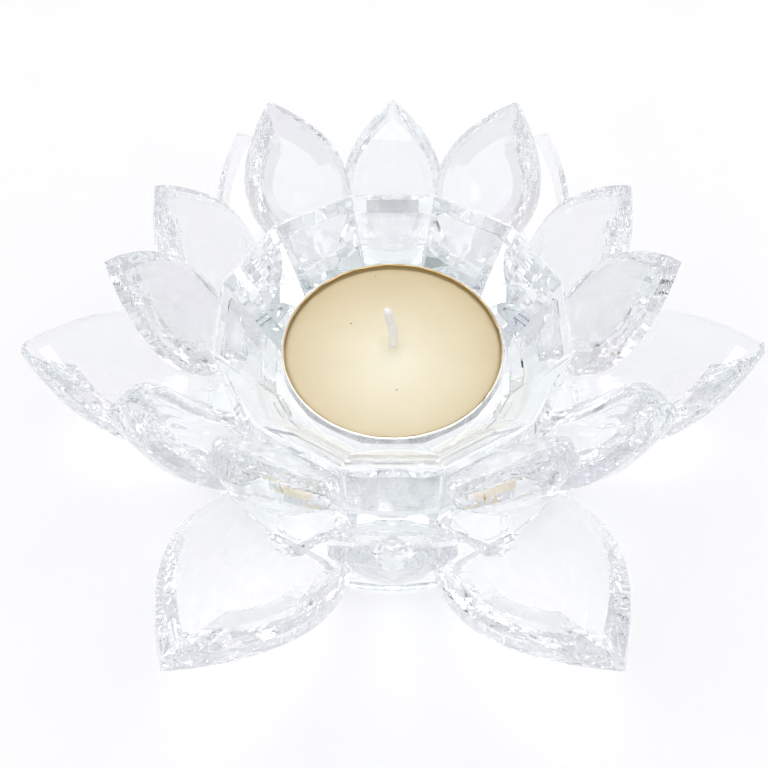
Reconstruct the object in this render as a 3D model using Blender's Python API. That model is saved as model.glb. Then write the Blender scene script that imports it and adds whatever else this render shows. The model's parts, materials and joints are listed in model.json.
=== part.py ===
"""Cut-crystal lotus tealight holder.

A round glass plate carries a twelve-sided glass cup. Three tiers of six cut-glass petals are
glued to the cup's sides, and a tealight stands in the cup's well and lifts straight out.

Metres, +Z up. The origin is the centre of the plate's underside.
"""

from math import atan2, cos, pi, radians, sin

import bmesh
import bpy
from mathutils import Matrix, Vector

# Joints between pieces.
GLUE_GAP = 0.0003  # the clear glue line between two glass pieces
SEAT_GAP = 0.0003  # between a piece and what it only rests on
TEALIGHT_CLEARANCE = 0.0003  # between the tealight and the wall of its well

# Plate.
PLATE_RADIUS = 0.0363
PLATE_THICKNESS = 0.0040
PLATE_CHAMFER = 0.0007
PLATE_SIDES = 96

# Tealight: the pressed shell, the wax, and the wick with its tab.
TEALIGHT_RADIUS = 0.0194
TEALIGHT_HEIGHT = 0.0150
SHELL_WALL = 0.0004
SHELL_LIP_WIDTH = 0.0002
SHELL_LIP_HEIGHT = 0.0006
WAX_BELOW_LIP = 0.0006
WAX_DOME = 0.0007
WAX_EDGE_ROUND = 0.0006
WAX_EDGE_STEPS = 3
WAX_DOME_STEPS = 8
WAX_MOUND_HEIGHT = 0.0009
WAX_MOUND_RADIUS = 0.0030
WAX_MOUND_STEPS = 4
WICK_RADIUS = 0.0008
WICK_ABOVE_WAX = 0.0092
WICK_LEAN_DEG = 7.0
WICK_LEAN_TOWARDS_DEG = 172.0
TAB_RADIUS = 0.0065
TAB_THICKNESS = 0.0004
COLLAR_HEIGHT = 0.0040
COLLAR_WALL = 0.0004
TURNED_STEPS = 64
WICK_SIDES = 12
WICK_LEAN_STEPS = 4

# Cup.
CUP_SIDES = 12
CUP_HEIGHT = 0.0256
CUP_RIM_APOTHEM = 0.02947  # centre to the middle of a side, at the rim
CUP_FOOT_APOTHEM = 0.0275
CUP_FOOT_CHAMFER = 0.0008
CUP_FLOOR = 0.0027
CUP_RIM_LAND = 0.0004
RIM_BEVEL_WIDTH = 0.0024
RIM_BEVEL_DROP = 0.0018
FUNNEL_DEPTH = 0.0068  # from the bevel down to the well, at the middle of a side
FUNNEL_OVERLAP = 0.0003  # how far the funnel's corners run on inside the well's wall
WELL_SIDES = 48
CUTTER_OVERRUN = 0.0025  # how far a cutter stands out of what it cuts

# Petals. A petal is a leaf with its widest place between a root part and a tip part.
PETALS_PER_TIER = 6

LOWER_SEAT_HEIGHT = 0.00343  # where the petal's middle plane meets the cup, above the cup's foot
LOWER_TILT_DEG = 20.24
LOWER_TIP_LENGTH = 0.0244
LOWER_SEAT_LENGTH = 0.01526  # from the cup's side to the widest place
LOWER_ROOT_LENGTH = 0.0244  # to where the leaf's outline would close, inside the cup
LOWER_HALF_WIDTH = 0.01413
LOWER_GIRDLE = 0.0030
LOWER_CROWN_HEIGHT = 0.0012
LOWER_CROWN_INSET = 0.0026
LOWER_BACK_DEPTH = 0.0048

MIDDLE_SEAT_HEIGHT = 0.0009
MIDDLE_TILT_DEG = 58.39
MIDDLE_TIP_LENGTH = 0.0161
MIDDLE_SEAT_LENGTH = 0.0218
MIDDLE_ROOT_LENGTH = 0.0236
MIDDLE_HALF_WIDTH = 0.00972

UPPER_SEAT_HEIGHT = 0.0165
UPPER_TILT_DEG = 56.68
UPPER_TIP_LENGTH = 0.0161
UPPER_SEAT_LENGTH = 0.01157
UPPER_ROOT_LENGTH = 0.0161
UPPER_HALF_WIDTH = 0.00972

SMALL_GIRDLE = 0.0027
SMALL_CROWN_HEIGHT = 0.0010
SMALL_CROWN_INSET = 0.0019
SMALL_BACK_DEPTH = 0.0038

LEAF_STATIONS = 18  # facets along each long edge of a petal
CROWN_BREAK_IN = 0.40  # where the crown's slope breaks: share of its inset, and of its height
CROWN_BREAK_UP = 0.62
BACK_TIERS = 4  # rows of facets on a petal's back
BACK_RUN = 0.76  # share of the half width over which the back slopes
FLAT_ANGLE = radians(0.3)  # facets closer than this to one plane are one facet
SMOOTH_ANGLE = radians(35)
WELD = 1e-6
ON_PLANE = 1e-7
LEVEL = 1e-9

FULL_TURN = 2 * pi
CUP_FOOT_Z = PLATE_THICKNESS + GLUE_GAP
CUP_RIM_Z = CUP_FOOT_Z + CUP_HEIGHT
WELL_FLOOR_Z = CUP_FOOT_Z + CUP_FLOOR
WELL_RADIUS = (TEALIGHT_RADIUS + TEALIGHT_CLEARANCE) / cos(pi / WELL_SIDES)
TEALIGHT_Z = WELL_FLOOR_Z + SEAT_GAP


def clear_scene():
    for old in list(bpy.data.objects):
        bpy.data.objects.remove(old, do_unlink=True)


def make_material(name, colour, roughness, metallic=0.0, transmission=0.0, ior=1.45):
    material = bpy.data.materials.new(name)
    material.use_nodes = True
    shader = material.node_tree.nodes["Principled BSDF"]
    shader.inputs["Base Color"].default_value = (*colour, 1.0)
    shader.inputs["Roughness"].default_value = roughness
    shader.inputs["Metallic"].default_value = metallic
    shader.inputs["Transmission Weight"].default_value = transmission
    shader.inputs["IOR"].default_value = ior
    material.diffuse_color = (*colour, 1.0)
    return material


def mesh_from(bm, name, material, smooth=False):
    bmesh.ops.recalc_face_normals(bm, faces=bm.faces)
    mesh = bpy.data.meshes.new(name)
    bm.to_mesh(mesh)
    bm.free()
    mesh.materials.append(material)
    if smooth:
        mesh.shade_smooth()
        mesh.set_sharp_from_angle(angle=SMOOTH_ANGLE)
    return mesh


def add_object(name, mesh, matrix=None, parent=None):
    obj = bpy.data.objects.new(name, mesh)
    bpy.context.scene.collection.objects.link(obj)
    obj.parent = parent
    if matrix is not None:
        obj.matrix_local = matrix
    return obj


def ring(sides, radius, z, turn=0.0):
    """The corners of a level regular polygon about Z."""
    points = []
    for k in range(sides):
        angle = turn + FULL_TURN * k / sides
        points.append(Vector((radius * cos(angle), radius * sin(angle), z)))
    return points


def hull_bmesh(points):
    """The convex solid round the points, with each flat facet as one face."""
    bm = bmesh.new()
    for point in points:
        bm.verts.new(point)
    made = bmesh.ops.convex_hull(bm, input=bm.verts)
    spare = [item for item in made["geom_interior"] if isinstance(item, bmesh.types.BMVert)]
    bmesh.ops.delete(bm, geom=spare, context="VERTS")
    merge_flat_facets(bm)
    return bm


def merge_flat_facets(bm):
    bmesh.ops.dissolve_limit(
        bm, angle_limit=FLAT_ANGLE, verts=bm.verts, edges=bm.edges, use_dissolve_boundaries=False
    )


def grind(bm, point, outward):
    """Takes off what lies beyond a plane and closes the flat it leaves."""
    bmesh.ops.bisect_plane(
        bm,
        geom=bm.verts[:] + bm.edges[:] + bm.faces[:],
        dist=ON_PLANE,
        plane_co=point,
        plane_no=outward,
        clear_outer=True,
    )
    open_edges = [edge for edge in bm.edges if edge.is_boundary]
    if open_edges:
        bmesh.ops.holes_fill(bm, edges=open_edges, sides=0)


def turned(profile, steps):
    """A solid of revolution about Z from (radius, height) pairs, closed on itself."""
    bm = bmesh.new()
    verts = [bm.verts.new((radius, 0.0, height)) for radius, height in profile]
    edges = []
    for first, second in zip(verts, verts[1:] + verts[:1]):
        edges.append(bm.edges.new((first, second)))
    bmesh.ops.spin(
        bm,
        geom=verts + edges,
        cent=(0.0, 0.0, 0.0),
        axis=(0.0, 0.0, 1.0),
        angle=FULL_TURN,
        steps=steps,
        use_merge=True,
    )
    bmesh.ops.remove_doubles(bm, verts=bm.verts, dist=WELD)
    return bm


def corner_radius(apothem):
    return apothem / cos(pi / CUP_SIDES)


def cup_side_apothem(z):
    """Centre to the cup's side at a height, on the slope between foot and rim."""
    share = (z - CUP_FOOT_Z) / CUP_HEIGHT
    return CUP_FOOT_APOTHEM + (CUP_RIM_APOTHEM - CUP_FOOT_APOTHEM) * share


def build_plate(parent, material):
    bm = bmesh.new()
    bmesh.ops.create_cone(
        bm,
        cap_ends=True,
        segments=PLATE_SIDES,
        radius1=PLATE_RADIUS,
        radius2=PLATE_RADIUS,
        depth=PLATE_THICKNESS,
        matrix=Matrix.Translation((0.0, 0.0, PLATE_THICKNESS / 2)),
    )
    rims = [e for e in bm.edges if abs(e.verts[0].co.z - e.verts[1].co.z) < LEVEL]
    bmesh.ops.bevel(bm, geom=rims, offset=PLATE_CHAMFER, segments=1, affect="EDGES")
    add_object("base_plate", mesh_from(bm, "base_plate", material, smooth=True), parent=parent)


def add_cutter(target, name, points):
    bm = hull_bmesh(points)
    bmesh.ops.recalc_face_normals(bm, faces=bm.faces)
    mesh = bpy.data.meshes.new(name)
    bm.to_mesh(mesh)
    bm.free()
    cutter = add_object(name, mesh, parent=target.parent)
    hide_cutter(cutter)
    cut_with(target, cutter)


def hide_cutter(cutter):
    cutter.hide_render = True
    cutter.display_type = "WIRE"


def cut_with(target, cutter):
    cut = target.modifiers.new(cutter.name, "BOOLEAN")
    cut.operation = "DIFFERENCE"
    cut.solver = "EXACT"
    cut.object = cutter


def build_cup(parent, material):
    half_side = pi / CUP_SIDES
    foot_inset = CUP_FOOT_APOTHEM - CUP_FOOT_CHAMFER
    chamfer_top = CUP_FOOT_Z + CUP_FOOT_CHAMFER
    points = ring(CUP_SIDES, corner_radius(foot_inset), CUP_FOOT_Z, half_side)
    points += ring(CUP_SIDES, corner_radius(cup_side_apothem(chamfer_top)), chamfer_top, half_side)
    points += ring(CUP_SIDES, corner_radius(CUP_RIM_APOTHEM), CUP_RIM_Z, half_side)
    cup = add_object("cup_block", mesh_from(hull_bmesh(points), "cup_block", material), parent=parent)

    bevel_slope = RIM_BEVEL_WIDTH / RIM_BEVEL_DROP
    bevel_top = CUP_RIM_APOTHEM - CUP_RIM_LAND + bevel_slope * CUTTER_OVERRUN
    bevel_foot = CUP_RIM_APOTHEM - CUP_RIM_LAND - RIM_BEVEL_WIDTH
    bevel_foot_z = CUP_RIM_Z - RIM_BEVEL_DROP
    bevel = ring(CUP_SIDES, corner_radius(bevel_foot), bevel_foot_z, half_side)
    bevel += ring(CUP_SIDES, corner_radius(bevel_top), CUP_RIM_Z + CUTTER_OVERRUN, half_side)
    add_cutter(cup, "rim_bevel_cutter", bevel)

    funnel_slope = (bevel_foot - WELL_RADIUS) / FUNNEL_DEPTH
    funnel_top = bevel_foot + funnel_slope * CUTTER_OVERRUN
    funnel_foot_corner = WELL_RADIUS - FUNNEL_OVERLAP
    funnel_foot = funnel_foot_corner * cos(half_side)
    funnel_foot_z = bevel_foot_z - (bevel_foot - funnel_foot) / funnel_slope
    funnel = ring(CUP_SIDES, funnel_foot_corner, funnel_foot_z, half_side)
    funnel += ring(CUP_SIDES, corner_radius(funnel_top), bevel_foot_z + CUTTER_OVERRUN, half_side)
    add_cutter(cup, "funnel_cutter", funnel)

    well = ring(WELL_SIDES, WELL_RADIUS, WELL_FLOOR_Z)
    well += ring(WELL_SIDES, WELL_RADIUS, bevel_foot_z - FUNNEL_DEPTH + CUTTER_OVERRUN)
    add_cutter(cup, "well_cutter", well)


def leaf_ring(tip, root, half_width, z, staggered):
    """One outline of a petal: a parabola each side, from the root's point to the tip's."""
    points = []
    shift = 0.5 if staggered else 0.0
    count = LEAF_STATIONS if staggered else LEAF_STATIONS + 1
    for k in range(count):
        share = -1.0 + 2.0 * (k + shift) / LEAF_STATIONS
        x = share * (tip if share > 0 else root)
        y = half_width * (1.0 - share * share)
        points.append(Vector((x, y, z)))
        if y > 0:
            points.append(Vector((x, -y, z)))
    return points


def petal_bmesh(tip, root, half_width, girdle, crown_height, crown_inset, back_depth):
    """A cut petal, lying flat: its table up, its faceted back down, its tip towards +X."""
    slimness = tip / half_width
    rings = [
        (crown_inset, girdle / 2 + crown_height, False),
        (CROWN_BREAK_IN * crown_inset, girdle / 2 + CROWN_BREAK_UP * crown_height, True),
        (0.0, girdle / 2, False),
        (0.0, -girdle / 2, False),
    ]
    for k in range(1, BACK_TIERS + 1):
        share = k / BACK_TIERS
        drop = back_depth * sin(pi / 2 * share)
        staggered = k % 2 == 1
        rings.append((BACK_RUN * half_width * share, -girdle / 2 - drop, staggered))
    points = []
    for inset, z, staggered in rings:
        trim = inset * slimness
        points += leaf_ring(tip - trim, root - trim, half_width - inset, z, staggered)
    return hull_bmesh(points)


def build_tier(name, first_deg, parent, material, seat_height, tilt_deg, seat_length, leaf, under):
    """Six petals about the cup, each ground flat where it meets the cup and the plate.

    A petal is also cut clear of the petals of the tiers under it. What is returned is this
    tier's own clearance, for the tiers above.
    """
    tilt = radians(tilt_deg)
    along = Vector((cos(tilt), 0.0, sin(tilt)))
    seat_z = CUP_FOOT_Z + seat_height
    seat = Vector((cup_side_apothem(seat_z), 0.0, seat_z))
    middle = seat + along * seat_length
    place = Matrix.Translation(middle) @ Matrix.Rotation(-tilt, 4, "Y")
    to_petal = place.inverted()

    bm = petal_bmesh(**leaf)
    side_lean = atan2(CUP_RIM_APOTHEM - CUP_FOOT_APOTHEM, CUP_HEIGHT)
    side_out = Vector((cos(side_lean), 0.0, -sin(side_lean)))
    on_side = seat + side_out * GLUE_GAP
    grind(bm, to_petal @ on_side, -(to_petal.to_3x3() @ side_out))
    on_plate = Vector((0.0, 0.0, PLATE_THICKNESS + GLUE_GAP))
    grind(bm, to_petal @ on_plate, to_petal.to_3x3() @ Vector((0.0, 0.0, -1.0)))
    merge_flat_facets(bm)

    mesh = mesh_from(bm, name, material)
    clearance_mesh = clearance_of(leaf, name)
    clearances = []
    for k in range(PETALS_PER_TIER):
        azimuth = radians(first_deg) + FULL_TURN * k / PETALS_PER_TIER
        around = Matrix.Rotation(azimuth, 4, "Z") @ place
        petal = add_object(f"{name}_{k + 1}", mesh, matrix=around, parent=parent)
        for cutter in nearest(under, around.translation):
            cut_with(petal, cutter)
        clearance = add_object(f"{name}_clearance_{k + 1}", clearance_mesh, around, parent)
        hide_cutter(clearance)
        clearances.append(clearance)
    return clearances


def clearance_of(leaf, name):
    """A petal's whole shape grown by the glue gap, to cut its neighbours with."""
    grown = dict(leaf)
    for size in ("tip", "root", "half_width"):
        grown[size] += GLUE_GAP
    grown["girdle"] += 2 * GLUE_GAP
    bm = petal_bmesh(**grown)
    bmesh.ops.recalc_face_normals(bm, faces=bm.faces)
    mesh = bpy.data.meshes.new(name + "_clearance")
    bm.to_mesh(mesh)
    bm.free()
    return mesh


def nearest(cutters, place):
    """The two cutters of a tier that stand nearest a place."""
    return sorted(cutters, key=lambda cutter: (cutter.location - place).length)[:2]


def build_petals(parent, lower_glass, middle_glass, upper_glass):
    lower_clearances = build_tier(
        "lower_petal",
        0.0,
        parent,
        lower_glass,
        LOWER_SEAT_HEIGHT,
        LOWER_TILT_DEG,
        LOWER_SEAT_LENGTH,
        dict(
            tip=LOWER_TIP_LENGTH,
            root=LOWER_ROOT_LENGTH,
            half_width=LOWER_HALF_WIDTH,
            girdle=LOWER_GIRDLE,
            crown_height=LOWER_CROWN_HEIGHT,
            crown_inset=LOWER_CROWN_INSET,
            back_depth=LOWER_BACK_DEPTH,
        ),
        under=[],
    )
    small = dict(
        girdle=SMALL_GIRDLE,
        crown_height=SMALL_CROWN_HEIGHT,
        crown_inset=SMALL_CROWN_INSET,
        back_depth=SMALL_BACK_DEPTH,
    )
    middle_clearances = build_tier(
        "middle_petal",
        30.0,
        parent,
        middle_glass,
        MIDDLE_SEAT_HEIGHT,
        MIDDLE_TILT_DEG,
        MIDDLE_SEAT_LENGTH,
        dict(
            tip=MIDDLE_TIP_LENGTH,
            root=MIDDLE_ROOT_LENGTH,
            half_width=MIDDLE_HALF_WIDTH,
            **small,
        ),
        under=lower_clearances,
    )
    build_tier(
        "upper_petal",
        0.0,
        parent,
        upper_glass,
        UPPER_SEAT_HEIGHT,
        UPPER_TILT_DEG,
        UPPER_SEAT_LENGTH,
        dict(
            tip=UPPER_TIP_LENGTH,
            root=UPPER_ROOT_LENGTH,
            half_width=UPPER_HALF_WIDTH,
            **small,
        ),
        under=middle_clearances,
    )


def build_tealight(parent, aluminium, wax, cotton, tinplate):
    """Everything here is measured from the underside of the tealight, where its parent stands."""
    body_outside = TEALIGHT_RADIUS - SHELL_LIP_WIDTH
    body_inside = body_outside - SHELL_WALL
    lip_foot = TEALIGHT_HEIGHT - SHELL_LIP_HEIGHT
    shell = (
        (0.0, 0.0),
        (body_outside, 0.0),
        (body_outside, lip_foot),
        (TEALIGHT_RADIUS, lip_foot),
        (TEALIGHT_RADIUS, TEALIGHT_HEIGHT),
        (body_inside, TEALIGHT_HEIGHT),
        (body_inside, SHELL_WALL),
        (0.0, SHELL_WALL),
    )
    add_turned("tealight_cup", shell, aluminium, parent)

    floor = SHELL_WALL + SEAT_GAP
    tab_top = floor + TAB_THICKNESS
    collar_top = floor + COLLAR_HEIGHT
    bore = WICK_RADIUS + SEAT_GAP
    collar_outside = bore + COLLAR_WALL
    tab = (
        (0.0, floor),
        (TAB_RADIUS, floor),
        (TAB_RADIUS, tab_top),
        (collar_outside, tab_top),
        (collar_outside, collar_top),
        (bore, collar_top),
        (bore, tab_top),
        (0.0, tab_top),
    )
    add_turned("wick_tab", tab, tinplate, parent)

    wax_radius = body_inside - SEAT_GAP
    edge_z = TEALIGHT_HEIGHT - WAX_BELOW_LIP
    dome_radius = wax_radius - WAX_EDGE_ROUND
    pocket = TAB_RADIUS + SEAT_GAP
    pocket_top = tab_top + SEAT_GAP
    throat = collar_outside + SEAT_GAP
    throat_top = collar_top + SEAT_GAP
    profile = [(pocket, floor), (wax_radius, floor)]
    for k in range(WAX_EDGE_STEPS + 1):
        angle = pi / 2 * k / WAX_EDGE_STEPS
        drop = WAX_EDGE_ROUND * (1 - sin(angle))
        profile.append((dome_radius + WAX_EDGE_ROUND * cos(angle), edge_z - drop))
    for radius in dome_radii(dome_radius, bore):
        profile.append((radius, wax_height(radius, edge_z, dome_radius)))
    profile += [
        (bore, throat_top),
        (throat, throat_top),
        (throat, pocket_top),
        (pocket, pocket_top),
    ]
    add_turned("wax", profile, wax, parent)

    wick_foot = tab_top + SEAT_GAP
    wick_bend = wax_height(bore, edge_z, dome_radius)
    bm = wick_bmesh(wick_foot, wick_bend)
    add_object("wick", mesh_from(bm, "wick", cotton, smooth=True), parent=parent)


def add_turned(name, profile, material, parent):
    mesh = mesh_from(turned(profile, TURNED_STEPS), name, material, smooth=True)
    add_object(name, mesh, parent=parent)


def dome_radii(outer, inner):
    """Radii from the wax's edge in to the wick, closer together on the mound."""
    radii = []
    for k in range(1, WAX_DOME_STEPS):
        radius = outer + (inner - outer) * k / WAX_DOME_STEPS
        if radius > WAX_MOUND_RADIUS:
            radii.append(radius)
    mound = min(WAX_MOUND_RADIUS, radii[-1])
    for k in range(1, WAX_MOUND_STEPS + 1):
        radii.append(mound + (inner - mound) * k / WAX_MOUND_STEPS)
    return radii


def wax_height(radius, edge_z, dome_radius):
    """The wax's top: a low dome, with a small mound drawn up round the wick."""
    share = min(radius / dome_radius, 1.0)
    height = edge_z + WAX_DOME * (1 - share * share)
    climb = max(0.0, 1 - radius / WAX_MOUND_RADIUS)
    return height + WAX_MOUND_HEIGHT * climb * climb


def wick_bmesh(foot, bend):
    """A round wick, upright in the wax and leaning a little above it."""
    lean = radians(WICK_LEAN_DEG)
    towards = radians(WICK_LEAN_TOWARDS_DEG)
    side = Vector((cos(towards), sin(towards), 0.0))
    centres = [Vector((0.0, 0.0, foot)), Vector((0.0, 0.0, bend))]
    step = WICK_ABOVE_WAX / WICK_LEAN_STEPS
    for k in range(1, WICK_LEAN_STEPS + 1):
        angle = lean * k / WICK_LEAN_STEPS
        centres.append(centres[-1] + (side * sin(angle) + Vector((0, 0, 1)) * cos(angle)) * step)
    bm = bmesh.new()
    loops = []
    for centre in centres:
        verts = [bm.verts.new(centre + point) for point in ring(WICK_SIDES, WICK_RADIUS, 0.0)]
        loops.append(verts)
    edges = []
    for verts in loops:
        edges.append([bm.edges.new(pair) for pair in zip(verts, verts[1:] + verts[:1])])
    for first, second in zip(edges, edges[1:]):
        bmesh.ops.bridge_loops(bm, edges=first + second)
    bm.faces.new(loops[0])
    bm.faces.new(loops[-1])
    return bm


def main():
    clear_scene()
    plate_glass = make_material("plate_glass", (0.95, 0.98, 0.97), 0.02, 0.0, 1.0, 1.52)
    cup_glass = make_material("cup_glass", (0.96, 0.98, 0.97), 0.02, 0.0, 1.0, 1.54)
    lower_glass = make_material("lower_petal_glass", (0.97, 0.97, 0.99), 0.01, 0.0, 1.0, 1.54)
    middle_glass = make_material("middle_petal_glass", (0.97, 0.98, 0.99), 0.01, 0.0, 1.0, 1.54)
    upper_glass = make_material("upper_petal_glass", (0.97, 0.98, 0.98), 0.01, 0.0, 1.0, 1.54)
    aluminium = make_material("pressed_aluminium", (0.72, 0.72, 0.70), 0.30, 1.0)
    wax = make_material("cream_wax", (0.78, 0.69, 0.48), 0.45)
    cotton = make_material("cotton_wick", (0.85, 0.80, 0.70), 0.90)
    tinplate = make_material("tinplate", (0.60, 0.60, 0.58), 0.35, 1.0)

    holder = add_object("holder", None)
    build_plate(holder, plate_glass)
    build_cup(holder, cup_glass)
    build_petals(holder, lower_glass, middle_glass, upper_glass)
    lift = Matrix.Translation((0.0, 0.0, TEALIGHT_Z))
    tealight = add_object("tealight_lift", None, matrix=lift, parent=holder)
    build_tealight(tealight, aluminium, wax, cotton, tinplate)


main()
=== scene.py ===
import json
from math import cos, pi, radians, sin

import bmesh
import bpy
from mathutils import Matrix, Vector
from mathutils import noise


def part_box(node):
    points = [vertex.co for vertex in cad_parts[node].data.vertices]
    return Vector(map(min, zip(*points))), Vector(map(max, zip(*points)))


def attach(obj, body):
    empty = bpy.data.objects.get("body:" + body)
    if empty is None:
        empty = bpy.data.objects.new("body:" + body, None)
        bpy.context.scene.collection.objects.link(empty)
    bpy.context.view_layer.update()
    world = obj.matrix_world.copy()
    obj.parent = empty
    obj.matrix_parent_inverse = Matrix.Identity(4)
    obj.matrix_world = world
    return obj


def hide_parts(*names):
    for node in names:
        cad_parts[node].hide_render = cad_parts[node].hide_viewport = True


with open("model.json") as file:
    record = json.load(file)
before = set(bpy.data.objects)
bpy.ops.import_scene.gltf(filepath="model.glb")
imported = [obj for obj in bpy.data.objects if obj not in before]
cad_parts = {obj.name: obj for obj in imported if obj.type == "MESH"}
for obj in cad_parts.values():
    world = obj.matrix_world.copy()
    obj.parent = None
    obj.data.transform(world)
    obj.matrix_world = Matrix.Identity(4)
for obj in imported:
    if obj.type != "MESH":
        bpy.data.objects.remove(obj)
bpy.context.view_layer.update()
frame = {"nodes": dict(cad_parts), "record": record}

# ---------------------------------------------------------------- camera
CAMERA_ELEVATION = radians(54.263)
CAMERA_DISTANCE = 0.17357
CAMERA_FOCAL_PX = 943.45
CAMERA_AIM_Z = 0.01084
FRAME_PX = 768
AIM_PX = (392.79, 383.24)  # where the aimed point lies in the frame, from its top left corner
SENSOR_MM = 36.0


def add_camera():
    data = bpy.data.cameras.new("camera")
    data.sensor_width = SENSOR_MM
    data.lens = CAMERA_FOCAL_PX / FRAME_PX * SENSOR_MM
    data.shift_x = (FRAME_PX / 2 - AIM_PX[0]) / FRAME_PX
    data.shift_y = (AIM_PX[1] - FRAME_PX / 2) / FRAME_PX
    data.clip_start = 0.005
    data.clip_end = 20.0
    camera = bpy.data.objects.new("camera", data)
    back = Vector((0.0, -cos(CAMERA_ELEVATION), sin(CAMERA_ELEVATION)))
    camera.location = Vector((0.0, 0.0, CAMERA_AIM_Z)) + back * CAMERA_DISTANCE
    camera.rotation_mode = "QUATERNION"
    camera.rotation_quaternion = (-back).to_track_quat("-Z", "Y")
    bpy.context.scene.collection.objects.link(camera)
    bpy.context.scene.camera = camera


# ---------------------------------------------------------------- node helpers
WHITE = (1.0, 1.0, 1.0)
BLACK = (0.0, 0.0, 0.0)


def new_material(name):
    material = bpy.data.materials.new(name)
    material.use_nodes = True
    tree = material.node_tree
    return material, tree, tree.nodes["Principled BSDF"]


def put(tree, kind, inputs=None, **settings):
    """Adds one node; inputs are the values on its sockets, settings its own properties."""
    made = tree.nodes.new(kind)
    for key, value in settings.items():
        setattr(made, key, value)
    for key, value in (inputs or {}).items():
        made.inputs[key].default_value = value
    return made


def noise_node(tree, scale, detail=3.0, roughness=0.5):
    place = put(tree, "ShaderNodeTexCoord")
    made = put(tree, "ShaderNodeTexNoise", {"Scale": scale, "Detail": detail, "Roughness": roughness})
    tree.links.new(place.outputs["Object"], made.inputs["Vector"])
    return made.outputs["Fac"]


def ramp(tree, source, stops):
    made = put(tree, "ShaderNodeValToRGB")
    elements = made.color_ramp.elements
    while len(elements) < len(stops):
        elements.new(0.5)
    for element, (position, colour) in zip(elements, stops):
        element.position = position
        element.color = (*colour, 1.0)
    tree.links.new(source, made.inputs["Fac"])
    return made.outputs["Color"]


def spread(tree, source, low, high):
    """Turns 0 to 1 into low to high."""
    made = put(tree, "ShaderNodeMapRange", {"To Min": low, "To Max": high})
    tree.links.new(source, made.inputs["Value"])
    return made.outputs["Result"]


def share_between(tree, source, start, end):
    """Turns start to end into 0 to 1."""
    made = put(tree, "ShaderNodeMapRange", {"From Min": start, "From Max": end})
    tree.links.new(source, made.inputs["Value"])
    return made.outputs["Result"]


def math_node(tree, operation, first, second):
    made = put(tree, "ShaderNodeMath", operation=operation)
    tree.links.new(first, made.inputs[0])
    tree.links.new(second, made.inputs[1])
    return made.outputs["Value"]


def axis_distance(tree, place):
    """The distance of a place from the vertical axis."""
    level = put(tree, "ShaderNodeVectorMath", {1: (1.0, 1.0, 0.0)}, operation="MULTIPLY")
    tree.links.new(place, level.inputs[0])
    reach = put(tree, "ShaderNodeVectorMath", operation="LENGTH")
    tree.links.new(level.outputs["Vector"], reach.inputs[0])
    return reach.outputs["Value"]


def multiply_colours(tree, first, second):
    mix = put(tree, "ShaderNodeMix", data_type="RGBA", blend_type="MULTIPLY")
    mix.inputs["Factor"].default_value = 1.0
    tree.links.new(first, mix.inputs["A"])
    tree.links.new(second, mix.inputs["B"])
    return mix.outputs["Result"]


def colour_over(tree, under, colour, share):
    """Lays one colour over a surface where share is 1."""
    mix = put(tree, "ShaderNodeMix", data_type="RGBA")
    mix.inputs["B"].default_value = (*colour, 1.0)
    tree.links.new(under, mix.inputs["A"])
    tree.links.new(share, mix.inputs["Factor"])
    return mix.outputs["Result"]


def bump(tree, shader, source, strength, distance):
    made = put(tree, "ShaderNodeBump", {"Strength": strength, "Distance": distance})
    tree.links.new(source, made.inputs["Height"])
    tree.links.new(made.outputs["Normal"], shader.inputs["Normal"])


# ---------------------------------------------------------------- materials
GLASS_TINTS_AND_TIER_SHADE = {  # by slot: each glass drifts between its two tints; the darker tints of the middle and upper petals are painted shade
    "plate_glass": ((0.980, 0.995, 0.990), (0.974, 0.990, 0.985)),
    "cup_glass": ((0.966, 0.963, 0.984), (0.955, 0.969, 0.967)),
    "lower_petal_glass": ((0.972, 0.967, 0.992), (0.962, 0.976, 0.977)),
    "middle_petal_glass": ((0.936, 0.936, 0.961), (0.926, 0.946, 0.944)),
    "upper_petal_glass": ((0.907, 0.902, 0.924), (0.896, 0.916, 0.901)),
}
GLASS_IOR = 1.52
GLASS_DRIFT_SCALE = 70.0
POLISHING_HAZE = 0.012  # the greatest roughness of the polished glass
# The wax's colour from the middle outward: the pale middle is a painted highlight, the deeper edge the
# wax's own tone.
WAX_HIGHLIGHT_AND_TONE_STOPS = ((0.05, (0.92, 0.865, 0.68)), (0.50, (0.83, 0.74, 0.525)), (1.0, (0.72, 0.60, 0.375)))
WAX_HIGHLIGHT_SHIFT = 0.0035  # how far the pale middle, a painted highlight, lies towards -Y
WAX_HIGHLIGHT_RADIUS = 0.003
WAX_DEEP_RADIUS = 0.0225
WAX_CLOUD = 0.006  # how unevenly the wax darkens outward
WAX_IOR = 1.44
SPECK_SCALE = 210.0
SPECK_COLOUR = (0.32, 0.23, 0.12)
LIP_SHADE_COLOUR = (0.46, 0.36, 0.19)  # painted shade and a painted reflection of the wax, on the metal of the lip's inner wall
LIP_SHADE_FOOT = 0.0016  # below the lip's top, where the painted shade starts
LIP_SHADE_FULL = 0.0007  # below the lip's top, where the painted shade is full
LIP_SHADE_INTO_SHEET = 0.6  # share of the sheet over which the painted shade fades to none, outward


def glass_material(name, tints):
    """Clear cut glass: a faint drift of tint and of polishing haze."""
    material, tree, shader = new_material(name)
    drift = noise_node(tree, GLASS_DRIFT_SCALE, 1.0)
    pale, deep = tints
    tree.links.new(ramp(tree, drift, ((0.35, pale), (0.65, deep))), shader.inputs["Base Color"])
    tree.links.new(spread(tree, drift, 0.0, POLISHING_HAZE), shader.inputs["Roughness"])
    shader.inputs["Transmission Weight"].default_value = 1.0
    shader.inputs["IOR"].default_value = GLASS_IOR
    return material


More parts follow.
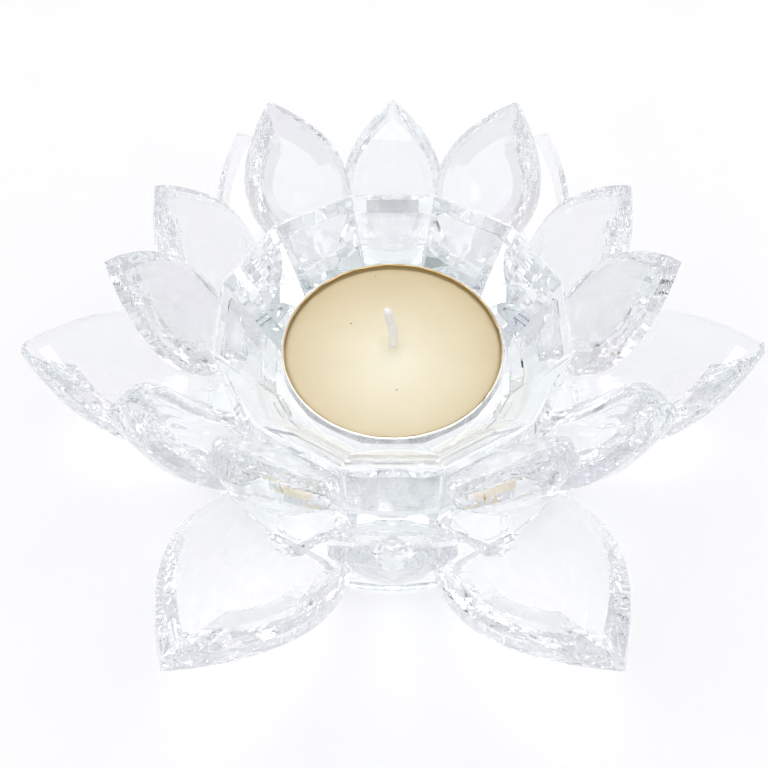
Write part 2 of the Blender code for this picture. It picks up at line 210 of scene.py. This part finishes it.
def wax_material():
    """Cream wax: deeper outward, its pale middle a painted highlight in front of the wick, with a few
    fine specks and a grain.
    """
    material, tree, shader = new_material("cream_wax")
    place = put(tree, "ShaderNodeTexCoord").outputs["Object"]
    moved = put(tree, "ShaderNodeVectorMath", {1: (0.0, WAX_HIGHLIGHT_SHIFT, 0.0)}, operation="ADD")
    tree.links.new(place, moved.inputs[0])
    cloudy = put(tree, "ShaderNodeMath", {1: WAX_CLOUD}, operation="MULTIPLY")
    tree.links.new(noise_node(tree, 130.0, 4.0, 0.6), cloudy.inputs[0])
    outward = math_node(
        tree, "ADD", axis_distance(tree, moved.outputs["Vector"]), cloudy.outputs["Value"]
    )
    # the pale middle, moved towards -Y, is a painted highlight
    depth = share_between(tree, outward, WAX_HIGHLIGHT_RADIUS, WAX_DEEP_RADIUS)
    cells = put(tree, "ShaderNodeTexVoronoi", {"Scale": SPECK_SCALE})
    tree.links.new(place, cells.inputs["Vector"])
    speck = ramp(tree, cells.outputs["Distance"], ((0.026, WHITE), (0.044, BLACK)))
    base = colour_over(tree, ramp(tree, depth, WAX_HIGHLIGHT_AND_TONE_STOPS), SPECK_COLOUR, speck)
    tree.links.new(base, shader.inputs["Base Color"])
    grain = noise_node(tree, 900.0, 4.0, 0.6)
    tree.links.new(spread(tree, grain, 0.34, 0.50), shader.inputs["Roughness"])
    bump(tree, shader, grain, 0.18, 0.0002)
    shader.inputs["IOR"].default_value = WAX_IOR
    return material


def cotton_material():
    """Unburnt cotton: pale strands that let some light through."""
    material, tree, shader = new_material("cotton_wick")
    strand = noise_node(tree, 2600.0)
    base = ramp(tree, strand, ((0.3, (0.965, 0.92, 0.84)), (0.7, (1.0, 0.98, 0.93))))
    tree.links.new(base, shader.inputs["Base Color"])
    tree.links.new(spread(tree, strand, 0.75, 0.95), shader.inputs["Roughness"])
    bump(tree, shader, strand, 0.25, 0.0001)
    shader.inputs["Sheen Weight"].default_value = 0.5
    shader.inputs["Subsurface Weight"].default_value = 0.6
    shader.inputs["Subsurface Radius"].default_value = (1.0, 0.9, 0.8)
    shader.inputs["Subsurface Scale"].default_value = 0.0015
    return material


def aluminium_material(lip_z, outer_radius, sheet):
    """Bright pressed sheet, with painted shade and a painted reflection of the wax, in brown, on the
    inner side of its lip only.
    """
    material, tree, shader = new_material("pressed_aluminium")
    marks = noise_node(tree, 900.0, 4.0, 0.6)
    place = put(tree, "ShaderNodeTexCoord").outputs["Object"]
    split = put(tree, "ShaderNodeSeparateXYZ")
    tree.links.new(place, split.inputs["Vector"])
    near_lip = share_between(tree, split.outputs["Z"], lip_z - LIP_SHADE_FOOT, lip_z - LIP_SHADE_FULL)
    radius = axis_distance(tree, place)
    inside = share_between(tree, radius, outer_radius, outer_radius - LIP_SHADE_INTO_SHEET * sheet)
    # the brown on the lip's inner wall is painted shade and a painted reflection of the wax
    painted_shade = math_node(tree, "MULTIPLY", near_lip, inside)
    shaded_metal = ramp(tree, painted_shade, ((0.0, (0.96, 0.96, 0.97)), (1.0, LIP_SHADE_COLOUR)))
    grey = ramp(tree, marks, ((0.3, (0.93, 0.93, 0.93)), (0.7, WHITE)))
    tree.links.new(multiply_colours(tree, shaded_metal, grey), shader.inputs["Base Color"])
    tree.links.new(spread(tree, marks, 0.16, 0.34), shader.inputs["Roughness"])
    bump(tree, shader, marks, 0.15, 0.0001)
    shader.inputs["Metallic"].default_value = 1.0
    return material


def tinplate_material():
    material, tree, shader = new_material("tinplate")
    marks = noise_node(tree, 700.0, 5.0, 0.7)
    base = ramp(tree, marks, ((0.3, (0.50, 0.50, 0.48)), (0.7, (0.68, 0.68, 0.66))))
    tree.links.new(base, shader.inputs["Base Color"])
    tree.links.new(spread(tree, marks, 0.25, 0.45), shader.inputs["Roughness"])
    shader.inputs["Metallic"].default_value = 1.0
    return material


def floor_material():
    material, tree, shader = new_material("pale_paper")
    fibre = noise_node(tree, 40.0, 4.0)
    base = ramp(tree, fibre, ((0.3, (0.955, 0.955, 0.955)), (0.7, (0.968, 0.968, 0.968))))
    tree.links.new(base, shader.inputs["Base Color"])
    shader.inputs["Roughness"].default_value = 0.9
    return material


# ---------------------------------------------------------------- glass pieces
WELD = 2e-6
FACET_ANGLE = radians(0.6)  # faces closer than this to one plane are one facet
FACING = 0.9  # least cosine at which a ground face counts as facing its neighbour
GLUE_REACH = 0.00034  # from a ground face over the glue line to just inside its neighbour
EDGE_ANGLE = radians(3.0)
EDGE_WIDTH = 0.00008
BROAD_FACE = 20e-6  # least area, in square metres, of a facet that stays as it is
GIRDLE_FACING = 0.2  # greatest cosine between a petal's table and its outline's faces
RECUT_DEPTH = 0.00016  # greatest inward move of a small facet's corner
OUTLINE_DEPTH = 0.00006  # the same, on the petal's outline
RECUT_SCALE = 4000.0


def add_piece(name, mesh, material, body, stands_for):
    piece = bpy.data.objects.new(name, mesh)
    mesh.materials.append(material)
    bpy.context.scene.collection.objects.link(piece)
    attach(piece, body)
    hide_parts(stands_for)
    return piece


def out_from_axis(node_name):
    """The level vector from the axis to the middle of a node."""
    low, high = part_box(node_name)
    return Vector(((low[0] + high[0]) / 2, (low[1] + high[1]) / 2, 0.0))


def close_glue_line(bm, node_name):
    """Carries the faces that are glued over the clear glue line, so no air shows there."""
    outward = out_from_axis(node_name).normalized()
    plate_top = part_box("base_plate")[1][2]
    moves = []
    for face in bm.faces:
        centre = face.calc_center_median()
        on_plate = face.normal.z < -FACING and abs(centre.z - plate_top) < 2 * GLUE_REACH
        on_cup = "petal" in node_name and face.normal.dot(outward) < -FACING
        if on_plate and "plate" not in node_name:
            moves.append((face.verts[:], Vector((0.0, 0.0, -GLUE_REACH))))
        elif on_cup:
            moves.append((face.verts[:], face.normal * GLUE_REACH))
    for verts, move in moves:
        for vert in verts:
            vert.co += move


def recut(bm, node_name):
    """Breaks a petal's front edges into small facets, each tilted inward a little its own way."""
    outward = out_from_axis(node_name)
    front_faces = [face for face in bm.faces if face.normal.z > 0]
    table = max(front_faces, key=lambda face: face.calc_area()).normal.copy()
    kept = set()
    outline = set()
    for face in bm.faces:
        if abs(face.normal.dot(table)) < GIRDLE_FACING:
            outline.update(face.verts)
        back = face.normal.z < 0 and face.normal.dot(outward) > 0
        if back or face.calc_area() > BROAD_FACE:
            kept.update(face.verts)
    bmesh.ops.triangulate(bm, faces=bm.faces)
    bm.normal_update()
    for vert in bm.verts:
        if vert not in kept:
            depth = OUTLINE_DEPTH if vert in outline else RECUT_DEPTH
            vert.co += vert.normal * -depth * abs(noise.cell(vert.co * RECUT_SCALE))


def faceted_mesh(node_name, piece_name):
    """The CAD node's own facets, each one flat."""
    bm = bmesh.new()
    bm.from_mesh(frame["nodes"][node_name].data)
    bmesh.ops.remove_doubles(bm, verts=bm.verts, dist=WELD)
    bmesh.ops.dissolve_limit(bm, angle_limit=FACET_ANGLE, verts=bm.verts, edges=bm.edges)
    bmesh.ops.recalc_face_normals(bm, faces=bm.faces)
    close_glue_line(bm, node_name)
    if "petal" in node_name:
        recut(bm, node_name)
    mesh = bpy.data.meshes.new(piece_name)
    bm.to_mesh(mesh)
    bm.free()
    mesh.shade_flat()
    return mesh


def grind_edges(piece):
    bevel = piece.modifiers.new("ground_edges", "BEVEL")
    bevel.width = EDGE_WIDTH
    bevel.segments = 1
    bevel.limit_method = "ANGLE"
    bevel.angle_limit = EDGE_ANGLE


def add_glass():
    """One cut piece for each glass node of the frame."""
    glasses = {slot: glass_material(slot, tints) for slot, tints in GLASS_TINTS_AND_TIER_SHADE.items()}
    for part in frame["record"]["subparts"]:
        slot = part["material_slot"]
        if slot not in glasses:
            continue
        node_name = part["node"]
        mesh = faceted_mesh(node_name, "cut_" + node_name)
        piece = add_piece("cut_" + node_name, mesh, glasses[slot], "holder", node_name)
        grind_edges(piece)
        piece.visible_shadow = False


# ---------------------------------------------------------------- tealight
AROUND = 144  # points in each ring of the shell and the wax
RAGGED = 0.00008  # how far the shell's edge wanders
RAGGED_SCALE = 9.0
SEED_STEP = 7.0  # between the noise for a ring's radius and for its height
SHELL_SHEET = 0.00028
SHELL_LIP = 0.00016  # how far the lip stands out of the shell's side
SHELL_FOOT_ROUND = 0.0008
LIP_SKIRT = 0.0007  # below the top: where the side turns out into the lip
LIP_UNDERSIDE = 0.0005
LIP_SHOULDER = 0.0001
LIP_CROWN = 0.00004
LIP_CROWN_IN = 0.0002
LIP_EDGE_CLEAR = 0.00004  # room for the wandering edge inside the CAD's outline
LIP_CURL = 0.00006  # how far the inner edge leans in over the wax
LIP_UNEVEN = 0.00003
LIP_INSIDE = 0.0012
LIP_SHARP = radians(40)
WAX_BELOW_LIP = 0.0010
WAX_INTO_SHELL = 0.00002  # the wax reaches into the sheet, so no light comes between them
WAX_ABOVE_FLOOR = 0.0002
WAX_FLOOR_RADIUS = 0.006  # the ring that closes the underside
WAX_FOOT_ROUND = 0.0005
WAX_SIDE_TOP = 0.0006  # below the edge's height
WAX_EDGE_ROUND = 0.0007
WAX_EDGE_STEPS = 5
WAX_EDGE_RAGGED = 0.00024
WAX_EDGE_UNEVEN = 0.00010
WAX_DOME = 0.0007
WAX_DOME_STEPS = 26
WAX_SAGS = ((160.0, 0.00012), (420.0, 0.00003))  # scale and height of the wax's unevenness
MOUND_HEIGHT = 0.0011
MOUND_RADIUS = 0.0028
MOUND_POWER = 1.6
WICK_STEPS = 60
WICK_SIDES = 30
WICK_IN_WAX = 0.0004
WICK_TWIST = 9.0  # radians, from foot to top
WICK_GROOVED_RADIUS = 0.92  # share of the radius, between two strands
WICK_STRAND_BULGE = 0.12
WICK_WAVER = 0.00025
WICK_WAVER_TURN = 5.0  # radians, from foot to top
WICK_BEND_POWER = 1.3
WICK_TIP_START = 0.86  # share of the wick's length where its rounded tip starts
WICK_TIP_POWER = 2.6
WICK_TIP_LEAST = 0.12  # least share of the radius, at the very top
STRANDS = 3


def around(count):
    """Equally spaced angles, once round."""
    return [2 * pi * k / count for k in range(count)]


def swept(rings):
    """A closed skin over a list of equal loops of points."""
    bm = bmesh.new()
    loops = [[bm.verts.new(point) for point in loop] for loop in rings]
    for first, second in zip(loops, loops[1:]):
        count = len(first)
        for k in range(count):
            n = (k + 1) % count
            bm.faces.new((first[k], first[n], second[n], second[k]))
    bm.faces.new(loops[0][::-1])
    bm.faces.new(loops[-1])
    bmesh.ops.recalc_face_normals(bm, faces=bm.faces)
    return bm


def smooth_mesh(rings, name):
    bm = swept(rings)
    mesh = bpy.data.meshes.new(name)
    bm.to_mesh(mesh)
    bm.free()
    mesh.shade_smooth()
    return mesh


def ragged(angle, seed):
    return noise.noise(Vector((cos(angle) * RAGGED_SCALE, sin(angle) * RAGGED_SCALE, seed)))


def loop_at(radius, z, ragged_radius=0.0, ragged_z=0.0, seed=0.0):
    """A level ring whose radius and height may wander a little."""
    points = []
    for angle in around(AROUND):
        r = radius + ragged_radius * ragged(angle, seed)
        height = z + ragged_z * ragged(angle, seed + SEED_STEP)
        points.append(Vector((r * cos(angle), r * sin(angle), height)))
    return points


def add_shell():
    """The thin pressed shell, an open cup with an uneven lip."""
    low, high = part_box("tealight_cup")
    outside = high[0]
    top = high[2]
    side = outside - SHELL_LIP
    inner = side - SHELL_SHEET
    floor = low[2] + SHELL_SHEET
    rings = [  # up the outside, over the lip and down the inside
        loop_at(side - SHELL_FOOT_ROUND, low[2]),
        loop_at(side, low[2] + SHELL_FOOT_ROUND),
        loop_at(side, top - LIP_SKIRT, RAGGED),
        loop_at(outside - LIP_EDGE_CLEAR, top - LIP_UNDERSIDE, RAGGED / 2),
        loop_at(outside - LIP_EDGE_CLEAR, top - LIP_SHOULDER, RAGGED / 2, seed=1.0),
        loop_at(outside - LIP_CROWN_IN, top - LIP_CROWN, RAGGED / 2, LIP_UNEVEN, seed=1.0),
        loop_at(inner - LIP_CURL, top - LIP_SHOULDER, 2 * RAGGED, 2 * LIP_UNEVEN, seed=2.0),
        loop_at(inner, top - LIP_INSIDE, RAGGED / 2),
        loop_at(inner, floor + SHELL_FOOT_ROUND),
        loop_at(inner - SHELL_FOOT_ROUND, floor),
    ]
    mesh = smooth_mesh(rings, "pressed_shell")
    mesh.set_sharp_from_angle(angle=LIP_SHARP)
    metal = aluminium_material(top, side, SHELL_SHEET)
    piece = add_piece("pressed_shell", mesh, metal, "tealight", "tealight_cup")
    piece.visible_shadow = False


def wax_surface_loop(radius, flat, edge):
    """One ring of the wax's top: domed, rising in a mound at the wick, and a little uneven."""
    share = radius / flat
    climb = max(0.0, 1 - radius / MOUND_RADIUS)
    z = edge + WAX_DOME * (1 - share * share) + MOUND_HEIGHT * climb ** MOUND_POWER
    points = []
    for angle in around(AROUND):
        place = Vector((radius * cos(angle), radius * sin(angle), 0.0))
        sag = sum(noise.noise(place * scale) * height for scale, height in WAX_SAGS)
        points.append(Vector((place.x, place.y, z + sag)))
    return points


def add_wax():
    """The wax fills its shell, rounds off at the edge, domes a little and climbs the wick."""
    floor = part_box("wax")[0][2] + WAX_ABOVE_FLOOR
    shell_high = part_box("tealight_cup")[1]
    radius = shell_high[0] - SHELL_LIP - SHELL_SHEET + WAX_INTO_SHELL
    edge = shell_high[2] - WAX_BELOW_LIP
    rings = [
        loop_at(WAX_FLOOR_RADIUS, floor),
        loop_at(radius - WAX_FOOT_ROUND, floor),
        loop_at(radius, floor + WAX_FOOT_ROUND),
        loop_at(radius, edge - WAX_SIDE_TOP),
    ]
    for k in range(1, WAX_EDGE_STEPS + 1):
        share = k / WAX_EDGE_STEPS
        r = radius - WAX_EDGE_ROUND * (1 - cos(pi / 2 * share))
        z = edge - WAX_EDGE_ROUND * (1 - sin(pi / 2 * share))
        rings.append(loop_at(r, z, WAX_EDGE_RAGGED * share, WAX_EDGE_UNEVEN, seed=3.0))
    flat = radius - WAX_EDGE_ROUND
    for k in range(1, WAX_DOME_STEPS + 1):
        rings.append(wax_surface_loop(flat * (1 - k / (WAX_DOME_STEPS + 1)), flat, edge))
    mesh = smooth_mesh(rings, "poured_wax")
    piece = add_piece("poured_wax", mesh, wax_material(), "tealight", "wax")
    piece.visible_shadow = False


def add_wick():
    """Three twisted strands, leaning and rounded off at the top."""
    low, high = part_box("wick")
    radius = high[0]
    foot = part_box("wax")[1][2] - WICK_IN_WAX
    lean = low[0] + radius
    rings = []
    for k in range(WICK_STEPS + 1):
        share = k / WICK_STEPS
        x = lean * share ** WICK_BEND_POWER + WICK_WAVER * sin(share * WICK_WAVER_TURN)
        centre = Vector((x, 0.0, foot + (high[2] - foot) * share))
        tip = max(0.0, (share - WICK_TIP_START) / (1 - WICK_TIP_START))
        fullness = max(0.0, 1 - tip ** WICK_TIP_POWER) ** 0.5
        size = radius * max(fullness, WICK_TIP_LEAST)
        points = []
        for angle in around(WICK_SIDES):
            lobe = abs(cos(STRANDS / 2 * (angle - share * WICK_TWIST)))
            r = size * (WICK_GROOVED_RADIUS + WICK_STRAND_BULGE * lobe)
            points.append(centre + Vector((r * cos(angle), r * sin(angle), 0.0)))
        rings.append(points)
    mesh = smooth_mesh(rings, "twisted_wick")
    add_piece("twisted_wick", mesh, cotton_material(), "tealight", "wick")


def dress_tab():
    tab = frame["nodes"]["wick_tab"].data
    tab.materials.clear()
    tab.materials.append(tinplate_material())


# ---------------------------------------------------------------- stage
FLOOR_RADIUS = 2.0
FLOOR_DROP = 0.0002  # keeps the floor clear of the plate's underside
STUDIO_STOPS = (  # from the floor up
    (0.0, (0.86, 0.86, 0.895)),
    (0.30, (0.89, 0.89, 0.92)),
    (0.62, (0.93, 0.93, 0.955)),
    (0.90, (1.05, 1.05, 1.06)),
)
STUDIO_GAP_COLOUR = (0.30, 0.35, 0.34)
STUDIO_GAP_SCALE = 2.3
BACKDROP_COLOUR = (1.15, 1.15, 1.16)
STUDIO_STRENGTH = 0.85
GLASS_BOUNCES = 44  # fewer end some of the light's paths through the stacked glass, which shows as black
DIFFUSE_BOUNCES = 4


def add_stage():
    bm = bmesh.new()
    bmesh.ops.create_circle(bm, cap_ends=True, segments=64, radius=FLOOR_RADIUS)
    mesh = bpy.data.meshes.new("floor")
    bm.to_mesh(mesh)
    bm.free()
    floor = bpy.data.objects.new("floor", mesh)
    floor.location.z = -FLOOR_DROP
    bpy.context.scene.collection.objects.link(floor)
    mesh.materials.append(floor_material())


def add_world():
    """A pale studio, brighter overhead, with darker gaps that show in the cuts."""
    world = bpy.data.worlds.new("studio")
    bpy.context.scene.world = world
    world.use_nodes = True
    tree = world.node_tree
    background = tree.nodes["Background"]
    direction = put(tree, "ShaderNodeTexCoord").outputs["Generated"]
    split = put(tree, "ShaderNodeSeparateXYZ")
    tree.links.new(direction, split.inputs["Vector"])
    height = ramp(tree, split.outputs["Z"], STUDIO_STOPS)
    patch = put(tree, "ShaderNodeTexNoise", {"Scale": STUDIO_GAP_SCALE, "Detail": 1.0})
    tree.links.new(direction, patch.inputs["Vector"])
    gaps = ramp(tree, patch.outputs["Fac"], ((0.34, STUDIO_GAP_COLOUR), (0.38, WHITE)))
    studio = multiply_colours(tree, height, gaps)
    seen = put(tree, "ShaderNodeLightPath").outputs["Is Camera Ray"]
    tree.links.new(colour_over(tree, studio, BACKDROP_COLOUR, seen), background.inputs["Color"])
    background.inputs["Strength"].default_value = STUDIO_STRENGTH


def add_lamp(name, location, size, energy):
    """A square area lamp that shines at the origin."""
    data = bpy.data.lights.new(name, "AREA")
    data.shape = "SQUARE"
    data.size = size
    data.energy = energy
    lamp = bpy.data.objects.new(name, data)
    lamp.location = location
    lamp.rotation_mode = "QUATERNION"
    lamp.rotation_quaternion = (-lamp.location).to_track_quat("-Z", "Y")
    bpy.context.scene.collection.objects.link(lamp)


def set_view():
    scene = bpy.context.scene
    scene.view_settings.view_transform = "Standard"
    scene.cycles.max_bounces = GLASS_BOUNCES
    scene.cycles.transmission_bounces = GLASS_BOUNCES
    scene.cycles.glossy_bounces = GLASS_BOUNCES
    scene.cycles.diffuse_bounces = DIFFUSE_BOUNCES


add_camera()
add_glass()
add_shell()
add_wax()
add_wick()
dress_tab()
add_stage()
add_world()
add_lamp("key", location=(0.0, 0.30, 0.90), size=0.5, energy=1.8)
add_lamp("fill", location=(-0.15, -0.75, 0.60), size=0.4, energy=0.8)
set_view()
